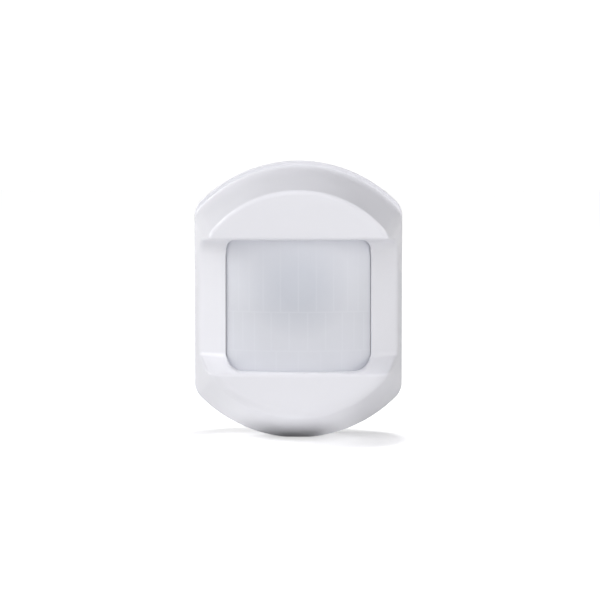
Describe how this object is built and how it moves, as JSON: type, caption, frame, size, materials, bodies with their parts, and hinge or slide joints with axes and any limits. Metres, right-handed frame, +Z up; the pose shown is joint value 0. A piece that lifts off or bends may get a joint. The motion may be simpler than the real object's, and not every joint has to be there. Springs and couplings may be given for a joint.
{
  "type": "motion sensor",
  "caption": "Wall-mounted passive infrared motion sensor with a hooded curved lens, hinged front cover, battery and wall bracket.",
  "frame": {"origin": "centre of the wall bracket's back face, on the wall plane", "axes": "+Z up on the wall, +Y into the wall, +X to the right seen from the front; the lens looks along -Y"},
  "size_m": [0.061, 0.046, 0.0812],
  "materials": {
    "case_plastic": "white moulded plastic with a fine satin texture",
    "lens_film": "milky translucent moulded sheet with fine lens segments",
    "natural_plastic": "natural unpigmented moulded plastic",
    "board_laminate": "green solder-masked laminate",
    "screw_steel": "plated steel",
    "can_metal": "nickel-plated steel can",
    "filter_pane": "dark infrared filter pane",
    "black_plastic": "black moulded plastic",
    "foam": "dark closed-cell foam",
    "tin_plate": "tin-plated sheet metal",
    "capacitor_sleeve": "shrunk dark sleeve",
    "led_epoxy": "red tinted epoxy",
    "copper_wire": "enamelled copper wire",
    "gold_plate": "gold-plated pins",
    "cell_case": "metal cell in a dark blue film sleeve"
  },
  "bodies": {
    "bracket": {"wall_bracket": "case_plastic"},
    "rear_case": {"rear_cover": "case_plastic", "circuit_board": "board_laminate", "pcb_screw_left": "screw_steel", "pcb_screw_right": "screw_steel", "pir_can": "can_metal", "pir_window": "filter_pane", "pir_spacer": "black_plastic", "sensor_gasket": "foam", "microcontroller": "black_plastic", "rf_shield": "tin_plate", "crystal": "tin_plate", "capacitor_large": "capacitor_sleeve", "capacitor_small": "capacitor_sleeve", "status_led": "led_epoxy", "antenna_coil": "copper_wire", "tamper_switch": "black_plastic", "jumper_header": "black_plastic", "jumper_pin_left": "gold_plate", "jumper_pin_right": "gold_plate", "jumper_cap": "black_plastic", "battery_cell": "cell_case", "battery_cradle": "black_plastic", "battery_contact": "tin_plate", "battery_spring": "screw_steel"},
    "front_case": {"front_cover": "case_plastic", "fresnel_lens": "lens_film", "lens_retainer": "natural_plastic"},
    "catch": {"release_button": "case_plastic"},
    "plunger": {"tamper_plunger": "natural_plastic"}
  },
  "joints": [
    {"name": "bracket_slide", "type": "slide", "parent": "bracket", "child": "rear_case", "axis": [0, 0, 1], "range_m": [0, 0.004]},
    {"name": "cover_hinge", "type": "hinge", "parent": "rear_case", "child": "front_case", "pos_m": [0, -0.014, 0.04065], "axis": [-1, 0, 0], "range_deg": [0, 60]},
    {"name": "release_press", "type": "slide", "parent": "rear_case", "child": "catch", "axis": [0, 0, 1], "range_m": [0, 0.0015], "stiffness_N_per_m": 400, "springref_m": -0.001},
    {"name": "tamper_press", "type": "slide", "parent": "rear_case", "child": "plunger", "axis": [0, -1, 0], "range_m": [0, 0.0015]}
  ],
  "couplings": [
    {"joint": "tamper_press", "follows": "cover_hinge", "m_per_rad": 0.001432}
  ]
}
